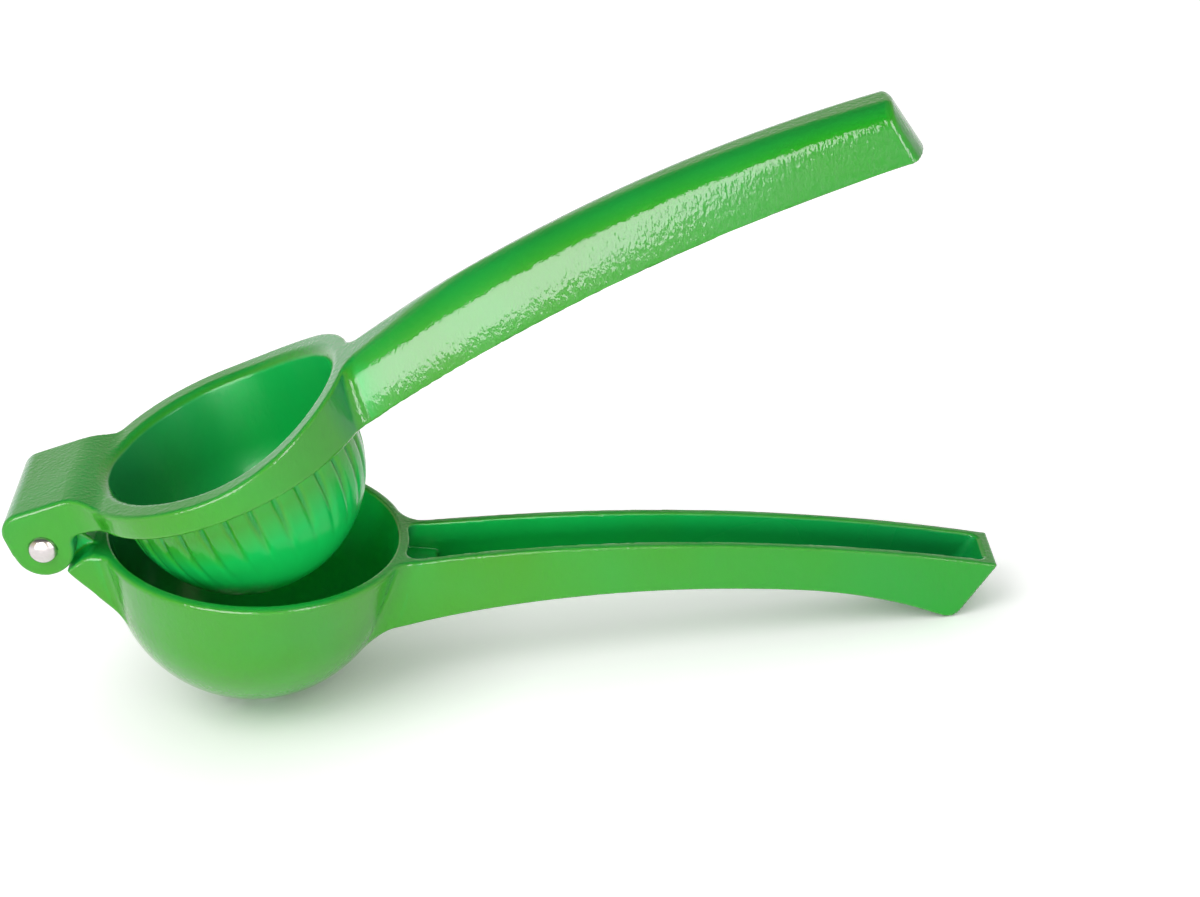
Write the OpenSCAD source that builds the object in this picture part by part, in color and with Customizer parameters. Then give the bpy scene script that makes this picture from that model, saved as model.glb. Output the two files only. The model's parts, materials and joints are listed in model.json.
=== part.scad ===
// Hand citrus press: two enamelled castings on one hinge rivet, half open.
// Each casting is drawn level, in a working frame with its origin at the centre of the bowl's rim,
// X toward the handle ends, Y across and Z up. The upper casting is drawn closed and then swung open,
// and stance() lays the whole press on its table. Lengths are millimetres and angles degrees.

/* [Bowl] */
// Outer radius of the bowl at its rim
bowl_r = 32.6; // [31.8:0.1:34]
// Outer radius of the bowl's round bottom
bowl_ball_r = 30.1; // [29:0.1:31]
// Outer depth of the bowl below its rim
bowl_depth = 36.4; // [35:0.1:40]
// Thickness of the bowl's wall
bowl_wall = 2.3; // [1.8:0.1:2.8]
// Diameter of a drain hole
drain_d = 3.6; // [2.5:0.1:4.2]
// Number of drain holes round the middle one
drain_count = 6; // [4:1:8]
// Radius of the circle that the drain holes stand on
drain_circle_r = 8; // [7:0.1:10]

/* [Press cup] */
// Outer radius of the press cup
cup_r = 25.9; // [24:0.1:26.5]
// Depth of the cup's ball centre below the bowl's rim when closed
cup_drop = 3.3; // [2.5:0.1:5]
// Thickness of the cup's wall
cup_wall = 2.6; // [2:0.1:3.2]
// Offset of the cup and ring toward the hinge
cup_offset = 1.2; // [0.5:0.1:1.6]
// Number of grooves round the cup, an even number
groove_count = 30; // [20:2:36]
// Width of a groove
groove_w = 1.3; // [0.8:0.1:1.8]
// Depth of a groove where it leaves the ring
groove_depth = 0.8; // [0.5:0.1:1.1]
// Share of the ball's radius, down from its centre, where the grooves fade out
groove_reach = 0.58; // [0.45:0.01:0.7]

/* [Ring] */
// Outer radius of the ring round the cup
ring_r = 31; // [30:0.1:31.4]
// Height of the ring's flat top above the bowl's rim when closed
ring_top = 6.7; // [6:0.1:7.5]
// Gap between the ring and the bowl's rim when closed
ring_gap = 1; // [0.6:0.1:1.5]
// Radius of the cup's mouth at the ring's flat top
mouth_r = 25.4; // [24.6:0.1:26]
// Radius of the hollow that sweeps up from the ring to the handle
scoop_r = 78; // [68:1:88]
// Distance from the ring's centre toward the hinge where that hollow starts
scoop_back = 2.5; // [1:0.1:4]
// Slope of the saddle where it runs out on the handle
scoop_slope = 17.5; // [16.5:0.1:19]

/* [Handles] */
// Distance from the bowl's centre to the end of the lower handle
lower_end_x = 156.5; // [150:0.5:160]
// Distance from the bowl's centre to the end of the upper handle
upper_end_x = 150; // [142:0.5:152]
// Width of both handles at the bowl
grip_w_root = 17.4; // [16:0.1:18.4]
// Width of both handles at the end
grip_w_end = 14.2; // [13:0.1:15]
// Thickness of the walls of both handles
grip_wall = 2; // [1.6:0.1:2.4]
// Thickness of the webs that close the channels
grip_web = 2.3; // [1.8:0.1:2.8]
// Radius of the upper handle's rounded top edges
grip_round_r = 5; // [3.5:0.1:5.5]
// Lean of the lower handle's end face from upright
lower_end_lean = 29; // [24:0.5:32]
// Lean of the upper handle's end face from upright
upper_end_lean = 13; // [5:0.5:16]
// Radius of the lower handle's heel
heel_r = 2.6; // [2:0.1:3]

/* [Handle arches] */
// Radius of the lower handle's top edge
lower_top_r = 440; // [400:5:480]
// Highest point of that edge, along the handle
lower_top_x = 115; // [110:0.5:120]
// Highest point of that edge, above the bowl's rim
lower_top_z = 6.9; // [6.4:0.1:7.4]
// Radius of the lower handle's underside toward the bowl
belly_r = 285; // [270:5:320]
// Radius of the lower handle's underside toward the heel
heel_arch_r = 105; // [95:1:125]
// Highest point of the underside, along the handle
belly_x = 116; // [112:0.5:120]
// Highest point of the underside, above the bowl's rim
belly_z = -3.7; // [-4.4:0.1:-3.2]
// Radius of the upper handle's crown
crown_r = 345; // [320:5:370]
// Highest point of the crown when closed, along the handle
crown_x = 121; // [118:0.5:125]
// Highest point of the crown when closed, above the bowl's rim
crown_z = 27.4; // [27:0.1:28]
// Radius of the upper handle's lower edges
under_r = 430; // [400:5:460]
// Highest point of those edges when closed, along the handle
under_x = 134; // [130:0.5:138]
// Highest point of those edges when closed, above the bowl's rim
under_z = 14.1; // [13.6:0.1:14.6]

/* [Hinge] */
// Angle between the two castings in the stored pose
open_angle = 25; // [20:0.5:32]
// Distance of the pin from the bowl's centre
pin_x = 41.7; // [41.2:0.1:43]
// Height of the pin above the bowl's rim
pin_z = 0.9; // [0.6:0.1:1.3]
// Diameter of the rivet's shank
pin_d = 5; // [4:0.1:5.4]
// Radial clearance of the shank in the tongue
pin_gap = 0.05; // [0.02:0.01:0.09]
// Diameter of the rivet's domed heads
head_d = 6; // [5.8:0.1:7.5]
// Height of the rivet's domed heads
head_h = 1.5; // [1.1:0.1:2]
// Width over the two ears
yoke_w = 28.4; // [27:0.1:30]
// Height of the yoke's top above the bowl's rim at the hinge end
yoke_top = 9.9; // [9.5:0.1:10.6]
// Width of the tongue between the ears
tongue_w = 17.2; // [15:0.1:18]
// Gap between the tongue and each ear
tongue_gap = 0.4; // [0.3:0.05:0.8]
// Radius of the ears round the pin
ear_r = 6.4; // [6:0.1:6.8]
// Radius of the tongue's eye round the pin
eye_r = 5; // [4.4:0.1:5.2]
// Radius of the hollow that the ears turn in
recess_r = 8; // [7.6:0.1:8.4]
// Slope of the hinge root's underside
root_slope = 42; // [38:0.5:46]

/* [Channel root] */
// Length of the step that stands in the lower channel beside the bowl
step_len = 6; // [4:0.1:6.4]
// Depth of that step's top below the bowl's rim
step_drop = 6.6; // [6:0.1:8]
// Diameter of the round boss beside the step
boss_d = 5; // [4:0.1:5.4]
// Depth of the boss's top below the bowl's rim
boss_drop = 5.4; // [5:0.1:6.4]
// Distance of the boss from the bowl's centre
boss_x = 42; // [41.6:0.1:44]

/* [Hidden] */

enamel_colour = "#3fb04a";
steel_colour = "#c3c3c6";

$fn = 96;
arch_fn = 720;
// Reach of a cutting shape past the surface it opens
past = 1;
// Size of the blocks that halve or trim a shape
trim = 200;

// Bowl: a ball with a cone laid on it, which meets the rim
ball_z = bowl_ball_r - bowl_depth;
rim_reach = norm([bowl_r, ball_z]);
bowl_flare = acos(bowl_ball_r / rim_reach) - atan2(-ball_z, bowl_r);
// The cone leaves the ball at this angle, rooted just inside it, so that both meet in a clear edge
flare_turn = 2;
drain_r = drain_d / 2;

// Ring and cup
ring_under = ring_gap;
cup_in_r = cup_r - cup_wall;
// Height of the cup's straight neck, which is rooted in the ring
cup_top = cup_drop + ring_under + past;
mouth_flare = (mouth_r - cup_in_r) / (ring_top + cup_drop);
// Drop of the groove's floor ball that brings it out of the cup at groove_reach
groove_shift = groove_depth / groove_reach;
// The straight saddle leaves the hollow's arc as a chord, at this angle, so that both meet in a clear edge
saddle_turn = 2;

// Lower handle's end: its top corner, the line of its face, and the centre of its heel
end_top = [lower_end_x, lower_top_z - lower_top_r + sqrt(lower_top_r ^ 2 - (lower_end_x - lower_top_x) ^ 2)];
end_along = [sin(lower_end_lean), cos(lower_end_lean)];
end_in = [-cos(lower_end_lean), sin(lower_end_lean)];
heel_start = end_top + heel_r * end_in - [belly_x, belly_z - heel_arch_r];
heel_b = heel_start * end_along;
heel_c = heel_start * heel_start - (heel_arch_r + heel_r) ^ 2;
heel = end_top + heel_r * end_in + end_along * (sqrt(heel_b ^ 2 - heel_c) - heel_b);

// Hinge
pin = [-pin_x, pin_z];
slot_w = tongue_w + 2 * tongue_gap;
slot_room = 0.6;
slot_top = pin_z + eye_r + slot_room;
slot_x = -pin_x + recess_r + past;
// Rounded corner over the ears, which stands out past them a little
corner_r = 3.2;
corner_out = 0.2;
corner = [-pin_x - ear_r + corner_r - corner_out, yoke_top - corner_r];
// Brow where the bridge's top turns down to the ring, and its fall from the hinge end
brow_x = -pin_x + recess_r + 3 * past;
brow_fall = 0.9;
root_corner = pin + recess_r * [cos(45), -sin(45)];
root_top = [-pin_x + recess_r, 0];
pin_hole_r = pin_d / 2;

// Stance: the line under the bowl's ball and the heel becomes the table
heel_reach = norm([heel[0], heel[1] - ball_z]);
tilt = atan2(heel[1] - ball_z, heel[0]) + asin((bowl_ball_r - heel_r) / heel_reach);
swing = open_angle - tilt;
table_z = ball_z * cos(tilt) - bowl_ball_r;
far_x = end_top[0] * cos(tilt) + end_top[1] * sin(tilt);
pin_stance_x = -pin_x * cos(tilt) + pin_z * sin(tilt);
corner_from_pin = corner - pin;
near_x = pin_stance_x + corner_from_pin[0] * cos(swing) - corner_from_pin[1] * sin(swing) - corner_r;
middle_x = (far_x + near_x) / 2;

// Half width of a handle at a distance along it
function grip_half(x) =
    (grip_w_root + (grip_w_end - grip_w_root) * (x - bowl_r) / (lower_end_x - bowl_r)) / 2;

// Point where a line from an outside point touches a circle, on its left or right hand
function touch(centre, r, point, hand) =
    let (to = point - centre, turn = atan2(to[1], to[0]) + hand * acos(r / norm(to)))
    centre + r * [cos(turn), sin(turn)];

// Lays the level press on its table, with the origin under the middle of its box
module stance() {
    translate([-middle_x, 0, -table_z])
        rotate([0, tilt, 0])
            children();
}

// Swings the closed upper casting open about the pin
module swung() {
    translate([-pin_x, 0, pin_z])
        rotate([0, -open_angle, 0])
            translate([pin_x, 0, -pin_z])
                children();
}

// Side view drawn in X and Z, given a width across the press
module across(width) {
    rotate([90, 0, 0])
        linear_extrude(width, center = true)
            children();
}

// Round bar across the press
module bar(at, r, width) {
    translate([at[0], 0, at[1]])
        rotate([90, 0, 0])
            cylinder(h = width, r = r, center = true);
}

// Disc of an arch, whose highest point is given
module arch(x, z, r) {
    translate([x, z - r])
        circle(r, $fn = arch_fn);
}

// Everything left or right of a line across the side view
module side_of(x, hand) {
    translate([hand < 0 ? x - trim : x, -trim])
        square([trim, 2 * trim]);
}

// Tapered plan of both handles, drawn inset by a wall
module grip_plan(inset, from_x, to_x) {
    translate([0, 0, -trim / 2])
        linear_extrude(trim)
            polygon([
                [from_x, inset - grip_half(from_x)],
                [to_x, inset - grip_half(to_x)],
                [to_x, grip_half(to_x) - inset],
                [from_x, grip_half(from_x) - inset]
            ]);
}

// Solid form of the bowl, drawn inset by a wall and carried up past the rim
module bowl_form(inset, above) {
    r = bowl_ball_r - inset;
    root = r * cos(flare_turn);
    root_z = ball_z - root * sin(bowl_flare);
    root_r = root * cos(bowl_flare);
    translate([0, 0, root_z])
        cylinder(h = above - root_z, r1 = root_r, r2 = root_r + (above - root_z) * tan(bowl_flare));
    translate([0, 0, ball_z])
        intersection() {
            sphere(r);
            translate([-trim / 2, -trim / 2, -trim])
                cube(trim);
        }
}

// Lower handle's underside, drawn thicker by a web
module belly(web) {
    intersection() {
        arch(belly_x, belly_z + web, belly_r + web);
        side_of(belly_x, -1);
    }
    intersection() {
        arch(belly_x, belly_z + web, heel_arch_r + web);
        side_of(belly_x, 1);
    }
}

// Side of the lower handle up to its end face, drawn inset from that face
module end_trim(inset, from_x) {
    reach = trim / 5;
    foot = end_top + inset * end_in - reach * end_along;
    head = end_top + inset * end_in + reach * end_along;
    polygon([[from_x, foot[1]], foot, head, [from_x, head[1]]]);
}

// Corner outside the heel's arc
module heel_corner() {
    arch_touch = heel + heel_r / (heel_arch_r + heel_r) * ([belly_x, belly_z - heel_arch_r] - heel);
    face_touch = heel - heel_r * end_in;
    reach = 3 * heel_r;
    difference() {
        polygon([heel, arch_touch, heel + [0, -reach], heel + [reach, -reach], face_touch]);
        translate(heel)
            circle(heel_r);
    }
}

module lower_grip() {
    intersection() {
        across(2 * bowl_r)
            difference() {
                intersection() {
                    arch(lower_top_x, lower_top_z, lower_top_r);
                    end_trim(0, bowl_r / 2);
                }
                belly(0);
                heel_corner();
            }
        grip_plan(0, 0, 2 * lower_end_x);
    }
}

module lower_channel() {
    difference() {
        intersection() {
            across(2 * bowl_r)
                difference() {
                    end_trim(grip_web, bowl_r / 2);
                    belly(grip_web);
                }
            grip_plan(grip_wall, 0, 2 * lower_end_x);
        }
        bowl_form(0, trim / 4);
    }
}

// Step and boss on the floor of the lower channel, beside the bowl
module channel_root() {
    difference() {
        intersection() {
            across(2 * bowl_r)
                difference() {
                    translate([bowl_r / 2, -trim])
                        square([bowl_r / 2 + step_len, trim - step_drop]);
                    belly(grip_web / 2);
                }
            grip_plan(grip_wall / 2, 0, 2 * lower_end_x);
        }
        bowl_form(bowl_wall / 2, past);
    }
    difference() {
        translate([boss_x, 0, -2 * step_drop])
            cylinder(h = 2 * step_drop - boss_drop, d = boss_d);
        across(2 * bowl_r)
            belly(grip_web / 2);
    }
}

// Block between the bowl and the ears, hollowed round the pin
module hinge_root() {
    down = [cos(root_slope), -sin(root_slope)];
    root_x = -bowl_r * 0.6;
    inner = root_corner + down * (root_x - root_corner[0]) / cos(root_slope);
    outer = root_corner - down * recess_r / 2;
    across(yoke_w)
        difference() {
            polygon([[outer[0], 0], outer, inner, [inner[0], 0]]);
            translate(pin)
                circle(recess_r);
        }
}

// Tongue that carries the rivet between the ears
module tongue() {
    across(tongue_w) {
        translate(pin)
            circle(eye_r);
        polygon([
            pin,
            touch(pin, eye_r, root_top, 1),
            root_top,
            root_top + [past, 0],
            root_corner + [past, -past * tan(root_slope)],
            root_corner,
            touch(pin, eye_r, root_corner, -1)
        ]);
    }
}

module drains() {
    for (i = [0 : drain_count])
        rotate([0, 0, i * 360 / drain_count])
            translate([i == drain_count ? 0 : drain_circle_r, 0, -bowl_depth - past])
                cylinder(h = bowl_depth, r = drain_r);
}

module bowl_arm() {
    color(enamel_colour)
        stance() {
            difference() {
                union() {
                    bowl_form(0, 0);
                    lower_grip();
                    hinge_root();
                    tongue();
                }
                bowl_form(bowl_wall, past);
                lower_channel();
                bar(pin, pin_hole_r + pin_gap, yoke_w);
                drains();
            }
            channel_root();
        }
}

// Everything above the ring's top and the saddle that sweeps up to the crown
module scoop() {
    start = -cup_offset - scoop_back;
    chord = scoop_r * cos(saddle_turn);
    saddle = [start + chord * sin(scoop_slope), ring_top + scoop_r - chord * cos(scoop_slope)];
    far = saddle + 2 * bowl_r * [1, tan(scoop_slope)];
    across(3 * bowl_r) {
        translate([start - 2 * bowl_r, ring_top])
            square([2 * bowl_r, trim / 2]);
        intersection() {
            translate([start, ring_top + scoop_r])
                circle(scoop_r, $fn = arch_fn);
            translate([start, 0])
                square([scoop_r * sin(scoop_slope + 2 * saddle_turn), trim / 2]);
        }
        polygon([saddle, far, [far[0], trim / 2], [saddle[0], trim / 2]]);
    }
}

// Bar with a rounded top, bent along the crown and drawn inset by a wall
module crown_bar(inset) {
    half = grip_half(0) - inset;
    round_r = grip_round_r - inset;
    top = crown_r - inset;
    // Angles of the arc before and behind its highest point
    toward_end = 8;
    toward_ring = 22;
    translate([crown_x, 0, crown_z - crown_r])
        rotate([90, 0, 0])
            rotate([0, 0, 90 - toward_end])
                rotate_extrude(angle = toward_end + toward_ring, $fn = arch_fn) {
                    translate([crown_r - 2 * bowl_r, -half])
                        square([2 * bowl_r - inset - round_r, 2 * half]);
                    translate([crown_r - 2 * bowl_r, round_r - half])
                        square([2 * bowl_r - inset, 2 * (half - round_r)]);
                    for (hand = [-1, 1])
                        translate([top - round_r, hand * (half - round_r)])
                            circle(round_r);
                }
}

// Upper handle, cut to its lower edges, its taper and its end face
module upper_grip(inset, end_inset, from_x) {
    mid_z = (crown_z + under_z) / 2;
    run = trim / 4;
    intersection() {
        crown_bar(inset);
        grip_plan(inset, from_x, 2 * lower_end_x);
        across(2 * bowl_r)
            polygon([
                [from_x, mid_z - run],
                [upper_end_x - end_inset + run * tan(upper_end_lean), mid_z - run],
                [upper_end_x - end_inset - run * tan(upper_end_lean), mid_z + run],
                [from_x, mid_z + run]
            ]);
    }
}

module under_cut() {
    across(3 * bowl_r)
        arch(under_x, under_z, under_r);
}

module cup_outside() {
    translate([-cup_offset, 0, -cup_drop]) {
        cylinder(h = cup_top, r = cup_r);
        intersection() {
            sphere(cup_r);
            translate([-trim / 2, -trim / 2, -trim])
                cube(trim);
        }
    }
}

module cup_inside() {
    height = ring_top + cup_drop + trim / 10;
    translate([-cup_offset, 0, -cup_drop]) {
        cylinder(h = height, r1 = cup_in_r, r2 = cup_in_r + height * mouth_flare);
        intersection() {
            sphere(cup_in_r);
            translate([-trim / 2, -trim / 2, -trim])
                cube(trim);
        }
    }
}

// Grooves down the cup: slots that a lowered ball stops short, so that they run out
module grooves() {
    floor_r = cup_r - groove_depth;
    height = cup_top + past + groove_reach * cup_r;
    translate([-cup_offset, 0, -cup_drop])
        for (i = [0 : groove_count - 1])
            rotate([0, 0, (i + 0.5) * 360 / groove_count])
                difference() {
                    translate([cup_r / 2, -groove_w / 2, cup_top + past - height])
                        cube([cup_r, groove_w, height]);
                    translate([0, 0, -groove_shift])
                        sphere(floor_r);
                    cylinder(h = trim, r = floor_r);
                }
}

// Side of the two ears and of the bridge over them
module yoke_side() {
    ring_x = -cup_offset - mouth_r;
    translate(pin)
        circle(ear_r);
    translate(corner)
        circle(corner_r);
    polygon([
        pin + [-ear_r, 0],
        corner + [-corner_r, 0],
        corner,
        corner + [0, corner_r],
        [brow_x, yoke_top - brow_fall],
        [ring_x, ring_top],
        [ring_x, ring_under],
        [-pin_x + ear_r, ring_under],
        pin + [ear_r, 0]
    ]);
}

module yoke() {
    difference() {
        across(yoke_w)
            yoke_side();
        translate([slot_x - trim, -slot_w / 2, slot_top - trim])
            cube([trim, slot_w, trim]);
    }
}

module press_arm() {
    color(enamel_colour)
        stance()
            swung()
                difference() {
                    union() {
                        difference() {
                            union() {
                                translate([-cup_offset, 0, ring_under])
                                    cylinder(h = 2 * bowl_r - ring_under, r = ring_r);
                                difference() {
                                    upper_grip(0, 0, bowl_r / 2);
                                    under_cut();
                                }
                            }
                            scoop();
                        }
                        difference() {
                            cup_outside();
                            grooves();
                        }
                        yoke();
                    }
                    cup_inside();
                    upper_grip(grip_wall, grip_web, bowl_r + 4 * grip_wall);
                    bar(pin, pin_hole_r, 2 * yoke_w);
                }
}

module hinge_rivet() {
    dome_r = ((head_d / 2) ^ 2 + head_h ^ 2) / (2 * head_h);
    color(steel_colour)
        stance()
            translate([-pin_x, 0, pin_z])
                rotate([90, 0, 0]) {
                    cylinder(h = yoke_w, r = pin_hole_r, center = true);
                    for (hand = [0, 1])
                        mirror([0, 0, hand])
                            translate([0, 0, yoke_w / 2])
                                intersection() {
                                    translate([0, 0, head_h - dome_r])
                                        sphere(dome_r);
                                    cylinder(h = head_h + past, r = head_d / 2 + past);
                                }
                }
}

bowl_arm();
press_arm();
hinge_rivet();
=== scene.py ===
# Hand citrus press, half open: two green castings, the grooved cup and the hinge rivet
import json
import math

import bpy
import numpy as np
from mathutils import Matrix, Vector


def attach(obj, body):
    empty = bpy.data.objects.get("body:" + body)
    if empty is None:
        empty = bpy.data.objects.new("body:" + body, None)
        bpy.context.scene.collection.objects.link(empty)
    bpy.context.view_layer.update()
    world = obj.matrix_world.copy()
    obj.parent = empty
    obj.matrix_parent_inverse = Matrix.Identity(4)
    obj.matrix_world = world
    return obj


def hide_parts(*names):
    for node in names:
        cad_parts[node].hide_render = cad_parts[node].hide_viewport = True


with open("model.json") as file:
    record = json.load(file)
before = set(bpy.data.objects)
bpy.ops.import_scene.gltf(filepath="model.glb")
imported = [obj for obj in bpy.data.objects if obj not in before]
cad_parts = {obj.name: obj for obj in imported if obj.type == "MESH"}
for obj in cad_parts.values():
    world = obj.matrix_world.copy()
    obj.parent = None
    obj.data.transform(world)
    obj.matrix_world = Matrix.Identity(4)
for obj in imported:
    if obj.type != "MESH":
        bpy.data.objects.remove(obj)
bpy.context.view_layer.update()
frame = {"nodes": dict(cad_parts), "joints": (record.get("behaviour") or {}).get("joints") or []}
print("frame loaded:", sorted(frame["nodes"]))

bpy.context.scene.view_settings.view_transform = "Standard"
metre = 0.001  # the castings are worked out in millimetres

# Where the level press stands: on the bowl's round bottom and on the heel of its lower handle
stand = {
    "ballRadius": 30.1, "ballZ": -6.3,      # round bottom, its centre below the bowl's rim
    "endX": 156.5, "endLean": 29.0, "heelRadius": 2.6,
    "topX": 115.0, "topZ": 6.9, "topRadius": 440.0,         # arch of the handle's top edge
    "bellyX": 116.0, "bellyZ": -3.7, "bellyRadius": 285.0,  # arch of its underside
    "heelArchRadius": 105.0,                                # and of the underside past bellyX
    "pin": (-41.7, 0.9),                    # hinge pin, from the middle of the bowl's rim
    "openAngle": 25.0,
}


def endTop():
    p = stand
    fall = p["topRadius"] - math.sqrt(p["topRadius"] ** 2 - (p["endX"] - p["topX"]) ** 2)
    return p["endX"], p["topZ"] - fall


def heelCentre():
    # the heel's arc touches the leaning end face and the arch of the underside
    p, lean = stand, math.radians(stand["endLean"])
    startX = endTop()[0] - p["heelRadius"] * math.cos(lean)
    startZ = endTop()[1] + p["heelRadius"] * math.sin(lean)
    fromX, fromZ = startX - p["bellyX"], startZ - p["bellyZ"] + p["heelArchRadius"]
    rise = fromX * math.sin(lean) + fromZ * math.cos(lean)
    over = fromX ** 2 + fromZ ** 2 - (p["heelArchRadius"] + p["heelRadius"]) ** 2
    along = math.sqrt(rise ** 2 - over) - rise
    return startX + along * math.sin(lean), startZ + along * math.cos(lean)


def standTilt():
    x, z = heelCentre()
    rise = z - stand["ballZ"]
    drop = stand["ballRadius"] - stand["heelRadius"]
    return math.atan2(rise, x) + math.asin(drop / math.hypot(x, rise))


def levelToRow():
    # level frame of the bowl, in mm, to the row frame, in metres: the pin lands on the joint
    pinRow = Vector(frame["joints"][0]["pos_m"])
    turn = Matrix.Rotation(standTilt(), 4, "Y")
    pinLevel = Vector((stand["pin"][0], 0, stand["pin"][1]))
    return Matrix.Translation(pinRow) @ turn @ Matrix.Scale(metre, 4) @ Matrix.Translation(-pinLevel)


def closedToRow():
    # frame of the closed upper casting, in mm, swung open about the pin
    pinLevel = Matrix.Translation((stand["pin"][0], 0, stand["pin"][1]))
    swing = Matrix.Rotation(-math.radians(stand["openAngle"]), 4, "Y")
    return levelToRow() @ pinLevel @ swing @ pinLevel.inverted()


# Adds one node with its settings, and links or sets its inputs
def addNode(tree, kind, inputs=None, **settings):
    node = tree.nodes.new(kind)
    for key, value in settings.items():
        setattr(node, key, value)
    for key, value in (inputs or {}).items():
        if isinstance(value, bpy.types.NodeSocket):
            tree.links.new(value, node.inputs[key])
        else:
            node.inputs[key].default_value = value
    return node


def hexColour(text):
    # sRGB hex to linear
    parts = [int(text[i:i + 2], 16) / 255 for i in (1, 3, 5)]
    return [p / 12.92 if p <= 0.04045 else ((p + 0.055) / 1.055) ** 2.4 for p in parts] + [1.0]


# Materials

enamel = {
    "green": "#44ae12",
    "paintedEndShade": "#08ae1e",      # painted shade toward the handles' ends: a cooler green
    "paintedUpAndGrooveShade": "#1ca43a",    # painted shade on upward faces and down in the grooves: a cooler, darker green
    "paintedShelterGreen": "#18d260",     # painted light and shade on sheltered faces: a cooler, brighter green
    "paintedShelterEnd": "#129c50",       # the same painted tint, toward the handles' ends
    "paintedAwayShade": "#2a9457",     # and painted shade where they look away from the hinge
    "thinEdgeAndPaintedHighlight": "#6ac44e",     # paler over edges: partly a thinner coat, partly a painted highlight
    "gleam": "#ffd6ff",         # tint of the gloss
    "endReach": 0.09, "endShare": 0.8,          # m from the press's middle to most of the painted shade at the ends
    "upAndGrooveShadeSpan": (0.45, 0.9),                    # upward look of a face, from none of its painted shade to all of it
    "shelterMapSpan": (0.28, 0.7), "shelterMapShare": 0.9,  # shelter of a face, from none of the painted shelter tint to most of it
    "edgeSpan": (0.2, 1.0), "edgeShare": 0.35,  # sharpness of an edge, from none of the pale edge to most of it
    "patchSize": 24.0, "patchShare": 0.25,      # mm, drift in the coat's depth
    "patchSpan": (0.3, 0.7),                    # what most of the drift's noise lies between
    "peelSize": 0.8, "peelHeight": 0.12,        # mm, swells of the orange peel
    "peelStretch": 0.5,                         # they run longer down the sides, as the coat sagged
    "peelLevelled": 0.3,                        # what is left of them in shelter and where the coat's depth drifts up
    "waveSize": 7.0, "waveHeight": 0.1, "waveStrength": 0.5,  # mm, slow sag of the coat
    "rough": (0.06, 0.10), "dryRough": 0.2,     # roughness by patch, and what dry spray in shelter adds
    "mirror": (0.5, 0.2),                       # specular level in the open and in shelter
    "ior": 1.46, "clearCoat": 0.15, "clearRough": 0.03,
}


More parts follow.
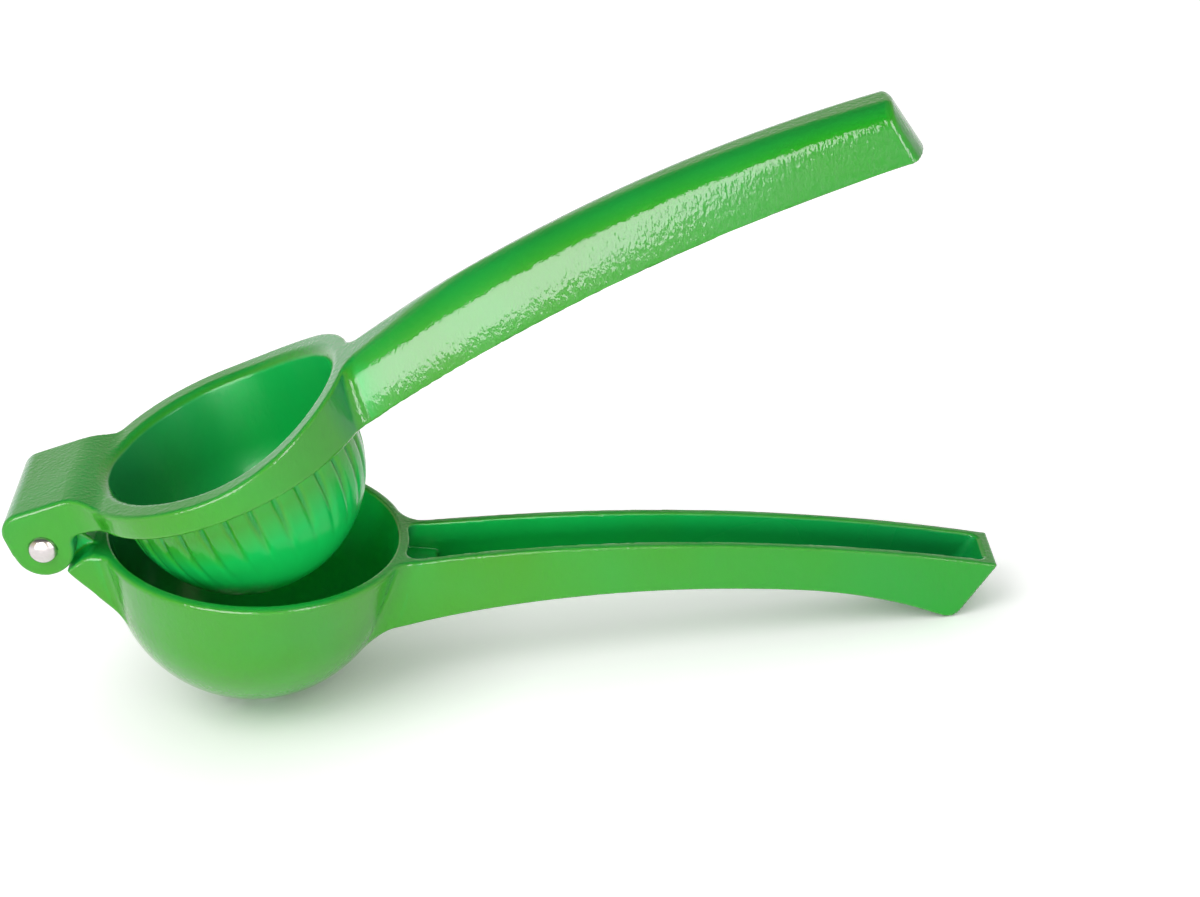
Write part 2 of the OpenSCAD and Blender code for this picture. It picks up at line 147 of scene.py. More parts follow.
def makeEnamel():
    # Sprayed and baked enamel on cast aluminium: a wet-looking gloss whose highlights have ragged edges,
    # a coat whose depth drifts at random, cooler painted light and shade in shelter, on upward faces,
    # in the grooves and toward the ends, and a paler green over edges, partly a thinner coat and partly a
    # painted highlight
    mat = bpy.data.materials.new("greenEnamel")
    mat.use_nodes = True
    tree = mat.node_tree
    shader = tree.nodes["Principled BSDF"]
    tint = {key: hexColour(value) for key, value in enamel.items() if isinstance(value, str)}
    place = addNode(tree, "ShaderNodeTexCoord").outputs["Object"]
    patch = addNode(tree, "ShaderNodeTexNoise", {
        "Vector": place, "Scale": 1 / (enamel["patchSize"] * metre), "Detail": 2.0,
        "Roughness": 0.4}).outputs["Fac"]
    drift = addNode(tree, "ShaderNodeMapRange", {
        "Value": patch, "From Min": enamel["patchSpan"][0], "From Max": enamel["patchSpan"][1],
        "To Max": enamel["patchShare"]}).outputs[0]

    # what castPiece and the cup's tree stored on each point, from which the enamel paints shade and light
    edge, shelter, load, away = (addNode(tree, "ShaderNodeAttribute", attribute_name=name).outputs["Fac"]
                                 for name in ("edgeTurn", "shelter", "upAndGrooveShadeMask", "looksAway"))
    # pale edges: partly a thinner coat, partly a painted highlight
    thinEdgeAndHighlight = addNode(tree, "ShaderNodeMapRange", {
        "Value": edge, "From Min": enamel["edgeSpan"][0], "From Max": enamel["edgeSpan"][1],
        "To Max": enamel["edgeShare"]}).outputs[0]
    # shelter gives painted light and shade in the colour, and more roughness and less gloss
    shelterShare = addNode(tree, "ShaderNodeMapRange", {
        "Value": shelter, "From Min": enamel["shelterMapSpan"][0], "From Max": enamel["shelterMapSpan"][1],
        "To Max": enamel["shelterMapShare"]}).outputs[0]
    # painted shade on upward faces and in the grooves
    upAndGrooveShade = addNode(tree, "ShaderNodeMapRange", {
        "Value": load, "From Min": enamel["upAndGrooveShadeSpan"][0], "From Max": enamel["upAndGrooveShadeSpan"][1]}).outputs[0]
    shelterAndPatch = addNode(tree, "ShaderNodeMath", {0: shelterShare, 1: drift}, operation="ADD", use_clamp=True).outputs[0]
    spot = addNode(tree, "ShaderNodeSeparateXYZ", {0: place})
    # painted shade toward the handles' ends
    along = addNode(tree, "ShaderNodeMapRange", {
        "Value": spot.outputs["X"], "From Max": enamel["endReach"],
        "To Max": enamel["endShare"]}).outputs[0]

    # painted light and shade in shelter, toward the ends and where faces look away from the hinge
    shelterPaint = tint["paintedShelterGreen"]
    for share, other in ((along, tint["paintedShelterEnd"]), (away, tint["paintedAwayShade"])):
        shelterPaint = addNode(tree, "ShaderNodeMix", {"Factor": share, 6: shelterPaint, 7: other},
                       data_type="RGBA").outputs[2]
    # the coat's green with painted shade toward the ends, on upward faces and in grooves, the painted
    # shelter tint and the pale edge
    coat = tint["green"]
    for share, other in ((along, tint["paintedEndShade"]), (upAndGrooveShade, tint["paintedUpAndGrooveShade"]), (shelterAndPatch, shelterPaint),
                         (thinEdgeAndHighlight, tint["thinEdgeAndPaintedHighlight"])):
        coat = addNode(tree, "ShaderNodeMix", {"Factor": share, 6: coat, 7: other},
                       data_type="RGBA").outputs[2]
    tree.links.new(coat, shader.inputs["Base Color"])

    sagged = addNode(tree, "ShaderNodeMapping", {
        "Vector": place, "Scale": (1, 1, enamel["peelStretch"])}).outputs[0]
    peel = addNode(tree, "ShaderNodeTexNoise", {
        "Vector": sagged, "Scale": 1 / (enamel["peelSize"] * metre), "Detail": 2.0, "Roughness": 0.5})
    wave = addNode(tree, "ShaderNodeTexNoise", {
        "Vector": sagged, "Scale": 1 / (enamel["waveSize"] * metre), "Detail": 0.0})
    sag = addNode(tree, "ShaderNodeBump", {
        "Height": wave.outputs["Fac"], "Strength": enamel["waveStrength"],
        "Distance": enamel["waveHeight"] * metre})
    level = addNode(tree, "ShaderNodeMapRange", {
        "Value": shelterAndPatch, "To Min": 1.0, "To Max": enamel["peelLevelled"]})
    skin = addNode(tree, "ShaderNodeBump", {
        "Height": peel.outputs["Fac"], "Strength": level.outputs[0],
        "Distance": enamel["peelHeight"] * metre, "Normal": sag.outputs["Normal"]})
    for socket in ("Normal", "Coat Normal"):
        tree.links.new(skin.outputs["Normal"], shader.inputs[socket])

    wet = addNode(tree, "ShaderNodeMapRange", {
        "Value": patch, "From Min": enamel["patchSpan"][0], "From Max": enamel["patchSpan"][1],
        "To Min": enamel["rough"][0], "To Max": enamel["rough"][1]}).outputs[0]
    rough = addNode(tree, "ShaderNodeMath", {0: shelterShare, 1: enamel["dryRough"], 2: wet},
                    operation="MULTIPLY_ADD")
    tree.links.new(rough.outputs[0], shader.inputs["Roughness"])
    mirror = addNode(tree, "ShaderNodeMapRange", {
        "Value": shelterShare, "To Min": enamel["mirror"][0], "To Max": enamel["mirror"][1]})
    tree.links.new(mirror.outputs[0], shader.inputs["Specular IOR Level"])
    shader.inputs["Specular Tint"].default_value = tint["gleam"]
    shader.inputs["IOR"].default_value = enamel["ior"]
    shader.inputs["Coat Weight"].default_value = enamel["clearCoat"]
    shader.inputs["Coat Roughness"].default_value = enamel["clearRough"]
    return mat


rivetSteel = {
    "bright": "#ded8d8",
    "dull": "#c2babb",
    "ringSpacing": 2.2, "ringHeight": 0.03,   # mm, coarser than real so that they show
    "ringStrength": 0.12,
    "wearSize": 1.11,                         # mm, patches of handling wear
    "rough": (0.18, 0.26),                    # bright and worn
}


def makeRivetSteel():
    # Cold-headed carbon steel with a bright finish: a hard mirror of the room, broken by faint rings
    mat = bpy.data.materials.new("brightRivetSteel")
    mat.use_nodes = True
    tree = mat.node_tree
    shader = tree.nodes["Principled BSDF"]
    place = addNode(tree, "ShaderNodeTexCoord").outputs["Object"]
    pin = frame["joints"][0]["pos_m"]
    centred = addNode(tree, "ShaderNodeMapping", {
        "Vector": place, "Location": [-p for p in pin]}).outputs[0]
    # the wave texture turns by 20 radians for each unit of its scale
    ringScale = 2 * math.pi / (rivetSteel["ringSpacing"] * metre) / 20
    rings = addNode(tree, "ShaderNodeTexWave", {
        "Vector": centred, "Scale": ringScale, "Distortion": 1.5, "Detail": 1.0},
        wave_type="RINGS", rings_direction="Y")
    worn = addNode(tree, "ShaderNodeTexNoise", {
        "Vector": centred, "Scale": 1 / (rivetSteel["wearSize"] * metre), "Detail": 3.0}).outputs["Fac"]
    tone = addNode(tree, "ShaderNodeMix", {
        "Factor": worn, 6: hexColour(rivetSteel["bright"]), 7: hexColour(rivetSteel["dull"])},
        data_type="RGBA")
    tree.links.new(tone.outputs[2], shader.inputs["Base Color"])
    rough = addNode(tree, "ShaderNodeMapRange", {
        "Value": worn, "To Min": rivetSteel["rough"][0], "To Max": rivetSteel["rough"][1]})
    tree.links.new(rough.outputs[0], shader.inputs["Roughness"])
    mark = addNode(tree, "ShaderNodeBump", {
        "Height": rings.outputs["Fac"], "Strength": rivetSteel["ringStrength"],
        "Distance": rivetSteel["ringHeight"] * metre})
    tree.links.new(mark.outputs["Normal"], shader.inputs["Normal"])
    shader.inputs["Metallic"].default_value = 1.0
    return mat


greenEnamel = makeEnamel()
brightSteel = makeRivetSteel()
print("materials made")


# Casting tools: a casting is a field of distances to its skin, in mm, negative inside

def join(a, b, r):
    # both shapes, with a fillet of radius r where they meet
    u, v = np.maximum(r - a, 0), np.maximum(r - b, 0)
    return np.maximum(r, np.minimum(a, b)) - np.sqrt(u * u + v * v)


def trim(a, b, r):
    # what lies in both shapes, with the edge between them rounded to radius r
    u, v = np.maximum(r + a, 0), np.maximum(r + b, 0)
    return np.minimum(-r, np.maximum(a, b)) + np.sqrt(u * u + v * v)


def ease(a, b, k):
    # what lies in both shapes, where they meet at a shallow angle, eased over k
    share = np.clip(0.5 + (a - b) / (2 * k), 0, 1)
    return b + (a - b) * share + k * share * (1 - share)


def easeStep(low, high, x):
    t = np.clip((x - low) / (high - low), 0, 1)
    return t * t * (3 - 2 * t)


def disc(x, z, cx, cz, r):
    return np.hypot(x - cx, z - cz) - r


def rounds(steps):
    # grid lines from (from, to, spacing) runs
    lines = [np.arange(a, b, s) for a, b, s in steps]
    return np.concatenate(lines + [[steps[-1][1]]])


cornerSteps = [(i, j, k) for i in (0, 1) for j in (0, 1) for k in (0, 1)]
cubeEdges = [(a, b) for a in range(8) for b in range(a + 1, 8)
             if sum(abs(p - q) for p, q in zip(cornerSteps[a], cornerSteps[b])) == 1]


def skinOf(shape, axes):
    # one vertex for each grid cell that the skin passes, one face for each grid line that it crosses
    x, y, z = axes
    field = shape(x[:, None, None], y[None, :, None], z[None, None, :]).astype(np.float32)
    inside = field < 0
    n = [s - 1 for s in field.shape]
    corner = lambda c, a: a[c[0]:c[0] + n[0], c[1]:c[1] + n[1], c[2]:c[2] + n[2]]
    count = sum(corner(c, inside).astype(np.int8) for c in cornerSteps)
    cells = np.array(np.nonzero((count > 0) & (count < 8)))
    number = np.full(n, -1, np.int64)
    number[tuple(cells)] = np.arange(cells.shape[1])
    at = [cells + np.array(c)[:, None] for c in cornerSteps]
    value = [field[tuple(p)].astype(float) for p in at]
    spot = [np.stack([axes[d][p[d]] for d in range(3)], 1) for p in at]
    total, hits = np.zeros((cells.shape[1], 3)), np.zeros(cells.shape[1])
    for a, b in cubeEdges:
        crossed = (value[a] < 0) != (value[b] < 0)
        share = np.where(crossed, value[a] / np.where(crossed, value[a] - value[b], 1), 0)
        total += crossed[:, None] * (spot[a] + share[:, None] * (spot[b] - spot[a]))
        hits += crossed
    faces = []
    for d in range(3):
        low = np.moveaxis(inside, d, 0)[:-1]
        high = np.moveaxis(inside, d, 0)[1:]
        for leaving, first in ((True, low & ~high), (False, ~low & high)):
            at = np.array(np.nonzero(np.moveaxis(first, 0, d)))
            u, v = np.eye(3, dtype=int)[(d + 1) % 3][:, None], np.eye(3, dtype=int)[(d + 2) % 3][:, None]
            ring = [number[tuple(p)] for p in (at, at - u, at - u - v, at - v)]
            faces.append(np.stack(ring if leaving else ring[::-1], 1))
    return total / hits[:, None], np.concatenate(faces)


def slopeAt(shape, p, h):
    # gradient and turn (sum of second differences) of the field at points
    here = shape(*p.T)
    gradient, turn = np.zeros_like(p), -6 * here
    for d in range(3):
        step = np.eye(3)[d] * h
        ahead, behind = shape(*(p + step).T), shape(*(p - step).T)
        gradient[:, d] = (ahead - behind) / (2 * h)
        turn += ahead + behind
    return here, gradient, turn / h ** 2


casting = {
    "relaxRounds": 3, "relaxPull": 0.6,          # evening out of the mesh along the skin
    "probe": 0.02, "farthestPush": 0.5,          # mm, step for the skin's slope, longest move back onto it
    "leastSlope": 0.05,                          # squared slope, below which that move is held back
    "edgeProbe": 0.4, "edgeGain": 0.5,           # mm, step for how sharply an edge turns, and its strength
    "shelterReaches": (7.0, 15.0, 34.0, 50.0),   # mm, how far out walls are looked for
    "weld": 0.002,                               # mm, points nearer than this become one
    "fineGrid": 0.535, "midGrid": 0.8, "longGrid": 1.3,  # mm between grid lines, widest on the handles
}


def castPiece(name, shape, axes, toRow):
    points, faces = skinOf(shape, axes)
    for i in range(casting["relaxRounds"] + 1):
        if i < casting["relaxRounds"]:  # even out the mesh along the skin
            middle = points[faces].mean(1)
            pull, hits = np.zeros_like(points), np.zeros(len(points))
            for c in range(4):
                np.add.at(pull, faces[:, c], middle)
                np.add.at(hits, faces[:, c], 1)
            points = points + casting["relaxPull"] * (pull / hits[:, None] - points)
        for j in range(2):  # and lay it back on the skin
            here, gradient = slopeAt(shape, points, casting["probe"])[:2]
            push = here / np.maximum((gradient ** 2).sum(1), casting["leastSlope"])
            push = np.clip(push, -casting["farthestPush"], casting["farthestPush"])
            points = points - push[:, None] * gradient
    gradient = slopeAt(shape, points, casting["probe"])[1]
    normals = gradient / np.linalg.norm(gradient, axis=1)[:, None]
    turn = slopeAt(shape, points, casting["edgeProbe"])[2]
    shelter = np.zeros(len(points))
    for reach in casting["shelterReaches"]:  # how far a wall stands into the space in front of each point
        shelter = np.maximum(shelter, 1 - shape(*(points + reach * normals).T) / reach)
    mesh = bpy.data.meshes.new(name)
    turned = np.array(toRow, float)
    mesh.from_pydata((points @ turned[:3, :3].T + turned[:3, 3]).tolist(), [], faces.tolist())
    # stored for the enamel, which paints shade and light from shelter, upward faces and faces that look
    # away from the hinge, and pales the edges
    stored = {"edgeTurn": np.clip(turn * casting["edgeGain"], -1, 1), "shelter": shelter,
              "upAndGrooveShadeMask": np.clip(normals[:, 2], 0, 1), "looksAway": np.clip(normals[:, 0], 0, 1)}
    for key, values in stored.items():
        mesh.attributes.new(key, "FLOAT", "POINT").data.foreach_set("value", values.astype(np.float32))
    mesh.shade_smooth()
    rowNormals = normals @ (turned[:3, :3] / metre).T
    mesh.normals_split_custom_set_from_vertices(rowNormals.tolist())
    mesh.materials.append(greenEnamel)
    piece = bpy.data.objects.new(name, mesh)
    bpy.context.scene.collection.objects.link(piece)
    print(name, "cast:", len(points), "points,", 2 * len(faces), "triangles")
    return piece


# Both handles share one tapered plan
grip = {"rootX": 32.6, "rootWidth": 17.4, "endWidth": 14.2, "wall": 2.0, "web": 2.3}


def gripSides(x, y):
    share = (x - grip["rootX"]) / (stand["endX"] - grip["rootX"])
    return np.abs(y) - (grip["rootWidth"] + (grip["endWidth"] - grip["rootWidth"]) * share) / 2


# Lower casting

lower = {
    "rimRadius": 32.6, "wall": 2.3,
    "bowlFillet": 3.3, "flare": 0.8, "flareRun": 10.0,  # the handle widens a little into the bowl
    "bellyEdge": 0.8, "endEdge": 0.4, "endBlend": (20.0, 8.0),    # blends this far before the end
    "rimEdge": 1.25, "gripEdge": 0.55, "rimBlend": (28.0, 37.0),  # x, rim's level top to the handle's arch
    "innerEdge": 0.5,
    "channelCorner": 1.6, "channelStart": 3.0,
    "rootWidth": 28.4, "rootTip": (-37.1, -4.0), "rootSlope": 42.0, "recessSlope": 43.0,
    "rootEdge": 0.4, "rootFillet": 1.3, "rootFromPin": 2.0,
    "tongueWidth": 17.2, "eyeRadius": 5.0, "linkRadius": 3.2, "linkEnd": (-33.5, -2.4), "eyeHole": 2.55,
    "tongueEdge": 0.5, "tongueFillet": 0.8,
    "stepEnd": 38.6, "stepTop": -6.6, "bossX": 42.0, "bossRadius": 2.5, "bossTop": -5.4,
    "stepEdge": 0.6, "stepInset": 0.6, "stepFillet": 0.5,
    "drainRadius": 1.8, "drainCircle": 8.0, "drainCount": 6, "drainTop": -20.0, "drainEdge": 0.5,
}


def lowerShape(x, y, z):
    p = lower
    px, pz = stand["pin"]
    ballZ, ballRadius = stand["ballZ"], stand["ballRadius"]
    flare = math.acos(ballRadius / math.hypot(p["rimRadius"], ballZ)) - math.atan2(-ballZ, p["rimRadius"])
    rho, lift = np.hypot(x, y), z - ballZ
    onCone = rho * math.sin(flare) + lift * math.cos(flare) > 0
    fromBall = np.where(onCone, rho * math.cos(flare) - lift * math.sin(flare), np.hypot(rho, lift))
    bowl, cavity = fromBall - ballRadius, fromBall - ballRadius + p["wall"]

    sides = gripSides(x, y) - p["flare"] * np.exp(np.minimum(0, (p["rimRadius"] - x) / p["flareRun"]))
    bellyRadius = np.where(x < stand["bellyX"], stand["bellyRadius"], stand["heelArchRadius"])
    belly = -disc(x, z, stand["bellyX"], stand["bellyZ"] - bellyRadius, bellyRadius)
    lean = math.radians(stand["endLean"])
    endX, endZ = endTop()
    end = (x - endX) * math.cos(lean) - (z - endZ) * math.sin(lean)
    nearEnd = easeStep(endX - p["endBlend"][0], endX - p["endBlend"][1], x)
    lowEdge = p["bellyEdge"] + (p["endEdge"] - p["bellyEdge"]) * nearEnd
    handle = trim(trim(belly, end, stand["heelRadius"]), sides, lowEdge)
    handle = np.maximum(handle, ballRadius / 2 - x)
    outer = join(bowl, handle, p["bowlFillet"])

    slope, back = math.radians(p["rootSlope"]), math.radians(p["recessSlope"])
    fromTip = (x - p["rootTip"][0], z - p["rootTip"][1])  # hinge root, cut back to clear the ears
    under = -fromTip[0] * math.sin(slope) - fromTip[1] * math.cos(slope)
    recess = -fromTip[0] * math.sin(back) + fromTip[1] * math.cos(back)
    root = trim(trim(under, recess, p["rootEdge"]), np.abs(y) - p["rootWidth"] / 2, p["rootEdge"])
    root = np.maximum(np.maximum(root, px + p["rootFromPin"] - x), x + ballRadius / 2)
    outer = join(outer, root, p["rootFillet"])

    arch = disc(x, z, stand["topX"], stand["topZ"] - stand["topRadius"], stand["topRadius"])
    share = easeStep(*p["rimBlend"], x)
    top = (1 - share) * z + share * arch
    topEdge = p["rimEdge"] + (p["gripEdge"] - p["rimEdge"]) * share
    channel = trim(trim(sides + grip["wall"], belly + grip["web"], p["channelCorner"]),
                   end + grip["web"], p["channelCorner"])
    channel = trim(channel, -bowl, p["channelStart"])
    hollow = np.minimum(cavity, channel)
    solid = np.maximum(trim(outer, top, topEdge), trim(-hollow, top, p["innerEdge"]))

    # step and boss on the channel's floor
    within = np.maximum(outer + p["stepInset"], p["stepInset"] - cavity)
    step = np.maximum(trim(x - p["stepEnd"], z - p["stepTop"], p["stepEdge"]), within)
    stem = np.hypot(x - p["bossX"], y) - p["bossRadius"]
    boss = np.maximum(trim(stem, z - p["bossTop"], p["stepEdge"]), within)
    solid = join(solid, np.minimum(step, boss), p["stepFillet"])

    eye = disc(x, z, px, pz, p["eyeRadius"])
    ex, ez = p["linkEnd"][0] - px, p["linkEnd"][1] - pz
    along = np.clip(((x - px) * ex + (z - pz) * ez) / (ex * ex + ez * ez), 0, 1)
    link = np.hypot(x - px - along * ex, z - pz - along * ez)
    link = link - p["eyeRadius"] + (p["eyeRadius"] - p["linkRadius"]) * along
    tongue = trim(np.minimum(eye, link), np.abs(y) - p["tongueWidth"] / 2, p["tongueEdge"])
    solid = join(solid, tongue, p["tongueFillet"])
    solid = np.maximum(solid, -disc(x, z, px, pz, p["eyeHole"]))

    sector = 2 * math.pi / p["drainCount"]
    bearing = (np.arctan2(y, x) + sector / 2) % sector - sector / 2
    drain = np.hypot(rho * np.cos(bearing) - p["drainCircle"], rho * np.sin(bearing))
    drain = np.maximum(np.minimum(drain, rho) - p["drainRadius"], z - p["drainTop"])
    return trim(solid, -drain, p["drainEdge"])


fineGrid, midGrid, longGrid = casting["fineGrid"], casting["midGrid"], casting["longGrid"]
lowerAxes = (rounds([(-48, 47, fineGrid), (47, 140, longGrid), (140, 158.5, fineGrid)]),
             rounds([(-34, 34, fineGrid)]), rounds([(-38, 9, fineGrid)]))
bowlArm = castPiece("bowlArm", lowerShape, lowerAxes, levelToRow())


# Upper casting, drawn closed

upper = {
    "offset": 1.2,  # ring and cup stand this far toward the hinge
    "ringRadius": 31.0, "ringTop": 6.7, "ringUnder": 1.0, "ringEdge": 0.8, "underEdge": 1.0,
    "scoopRadius": 78.0, "scoopBack": 2.5, "scoopSlope": 17.5,
    "mouthRadius": 25.4, "cupDrop": 3.3, "cupInside": 22.8, "cupBacking": 25.0, "backingLap": 1.0,
    "lipRadius": 1.7, "lipLeast": 0.3, "lipSpan": (2.2, 6.2),  # the lip's radius grows over these heights
    "ringBlend": (24.0, 36.0), "ringFillet": 0.6,
    "crownX": 121.0, "crownZ": 27.4, "crownRadius": 345.0,
    "underX": 134.0, "underZ": 14.1, "underRadius": 430.0,
    "endX": 150.4, "endLean": 14.0, "endBulge": 13.0, "endEdge": 1.1, "lowEdge": 0.4, "innerEdge": 0.45,
    "taperFrom": 40.0,                   # x from which the handle's section changes toward the end
    "draftNear": 7.3, "draftFar": 4.0,   # lean of the handle's sides, by the ring and at the end
    "bulgeRadius": 33.0,                 # their swell by the ring
    "trueAt": 4.0,                       # height over the lower edge where the plan's width is true
    "roundNear": 5.4, "roundFar": 4.4,   # radius of the handle's top edges, by the ring and at the end
    "handleFillet": 2.5, "channelStart": 40.6, "channelCorner": 1.5,
    "yokeWidth": 28.4, "yokeTop": 10.0, "yokeFall": 0.035, "yokeLeft": -48.2, "yokeCorner": 4.6,
    "rampStart": (-31.2, 9.4), "rampSlope": 30.0, "rampEase": 1.2,
    "yokeUnder": 1.2, "yokeLowEdge": 0.8, "yokeEdge": 0.9, "yokeFillet": 5.0, "yokeInset": 0.4,
    "earRadius": 6.3, "earFillet": 1.6, "earFilletRun": 3.0, "earFilletLeast": 0.02,
    "slotWidth": 18.0, "slotTop": 6.5, "slotEnd": -32.7, "slotCorner": 1.0, "slotEdge": 0.5, "pinHole": 2.5,
}


def upperShape(x, y, z):
    p = upper
    px, pz = stand["pin"]
    cx = x + p["offset"]
    rho = np.hypot(cx, y)
    hub, slope = p["ringTop"] + p["scoopRadius"], math.radians(p["scoopSlope"])
    sx = cx + p["scoopBack"]
    arc = p["scoopRadius"] - np.hypot(sx, z - hub)
    line = (z - hub) * math.cos(slope) - sx * math.sin(slope) + p["scoopRadius"]
    bearing = np.arctan2(sx, hub - z)
    scoop = np.where(bearing < 0, z - p["ringTop"], np.where(bearing > slope, line, arc))

    crown = disc(x, z, p["crownX"], p["crownZ"] - p["crownRadius"], p["crownRadius"])
    under = -disc(x, z, p["underX"], p["underZ"] - p["underRadius"], p["underRadius"])
    lean = math.radians(p["endLean"])
    end = (x - p["endX"]) * math.cos(lean) + (z - (p["crownZ"] + p["underZ"]) / 2) * math.sin(lean)
    end = end + y ** 2 / (2 * p["endBulge"])
    along = np.clip((x - p["taperFrom"]) / (p["endX"] - p["taperFrom"]), 0, 1)
    roundRadius = p["roundNear"] + (p["roundFar"] - p["roundNear"]) * along
    rise = np.maximum(-under, 0)
    swell = (1 - along) / (2 * p["bulgeRadius"])
    draft = np.tan(np.radians(p["draftNear"] + (p["draftFar"] - p["draftNear"]) * along))
    sides = gripSides(x, y) + draft * (rise - p["trueAt"])
    sides = sides + swell * (rise ** 2 - p["trueAt"] ** 2)
    bar = trim(trim(sides, crown, roundRadius), end, p["endEdge"])
    bar = np.maximum(bar, p["mouthRadius"] / 2 - x)
    channel = trim(sides + grip["wall"], crown + grip["wall"], roundRadius - grip["wall"])
    channel = trim(channel, end + grip["web"], p["channelCorner"])
    channel = trim(channel, p["channelStart"] - x, p["channelCorner"])

    mouth, mouthLift = p["mouthRadius"], p["ringTop"] + p["cupDrop"]
    flare = math.acos(p["cupInside"] / math.hypot(mouth, mouthLift)) - math.atan2(mouthLift, mouth)
    lift = z + p["cupDrop"]
    onCone = rho * math.sin(flare) + lift * math.cos(flare) > 0
    fromBall = np.where(onCone, rho * math.cos(flare) - lift * math.sin(flare), np.hypot(rho, lift))
    cavity = fromBall - p["cupInside"]
    backing = np.where(lift > 0, rho, np.hypot(rho, lift)) - p["cupBacking"]
    backing = np.maximum(backing, z - p["ringUnder"] - p["backingLap"])

    share = easeStep(*p["ringBlend"], x)  # the ring's underside runs on into the handle's
    low = (1 - share) * (p["ringUnder"] - z) + share * under
    lowEdge = p["underEdge"] + (p["lowEdge"] - p["underEdge"]) * share
    body = trim(join(rho - p["ringRadius"], bar, p["handleFillet"]), low, lowEdge)
    body = np.maximum(body, trim(-channel, low, p["innerEdge"]))
    body = trim(np.minimum(body, backing), scoop, p["ringEdge"])

    left = p["yokeLeft"] - x  # yoke: the two ears and the bridge over them
    top = z - p["yokeTop"] + p["yokeFall"] * (x - p["yokeLeft"] - p["yokeCorner"])
    ramp = math.radians(p["rampSlope"])
    down = (x - p["rampStart"][0]) * math.sin(ramp) + (z - p["rampStart"][1]) * math.cos(ramp)
    yokeLow = np.where(x < px, pz, p["yokeUnder"]) - z
    block = ease(trim(left, top, p["yokeCorner"]), down, p["rampEase"])
    block = trim(block, yokeLow, p["yokeLowEdge"])
    block = np.maximum(block, x + p["offset"] + p["cupInside"])
    ear = disc(x, z, px, pz, p["earRadius"])
    fillet = p["earFillet"] * np.clip((x - px) / p["earFilletRun"], p["earFilletLeast"], 1.0)
    profile = join(ear, block, fillet)
    plan = join(np.abs(y) - p["yokeWidth"] / 2, rho - p["ringRadius"] + p["yokeInset"], p["yokeFillet"])
    yoke = trim(profile, plan, p["yokeEdge"])
    slot = trim(np.abs(y) - p["slotWidth"] / 2, z - p["slotTop"], p["slotCorner"])
    yoke = trim(yoke, -np.maximum(slot, x - p["slotEnd"]), p["slotEdge"])
    lip = p["lipLeast"] + (p["lipRadius"] - p["lipLeast"]) * easeStep(*p["lipSpan"], z)
    body = trim(join(body, yoke, p["ringFillet"]), -cavity, lip)
    return np.maximum(body, -disc(x, z, px, pz, p["pinHole"]))


upperAxes = (rounds([(-49.5, 58, fineGrid), (58, 74, midGrid), (74, 140, longGrid), (140, 154, fineGrid)]),
             rounds([(-32.5, 32.5, fineGrid)]), rounds([(-30, 29.5, fineGrid)]))
pressArm = castPiece("pressArm", upperShape, upperAxes, closedToRow())


# Grooved cup: a turned shell whose outside carries the grooves, by Geometry Nodes

cup = {
    "Radius": 25.9, "Neck": 4.9, "Wall": 1.1,
    "Groove Count": 30.0, "Groove Width": 2.6, "Groove Depth": 0.8, "Fade": 0.58,
    "facesPerGroove": 16, "insideRows": 10, "outsideRows": 84, "crowding": 0.72,
    "shelterSpan": (-0.25, 0.5),   # sine of the wall's dip, from none of the painted shelter tint to all of it
    "grooveShelter": -0.3,         # change of that shelter in a full groove
}


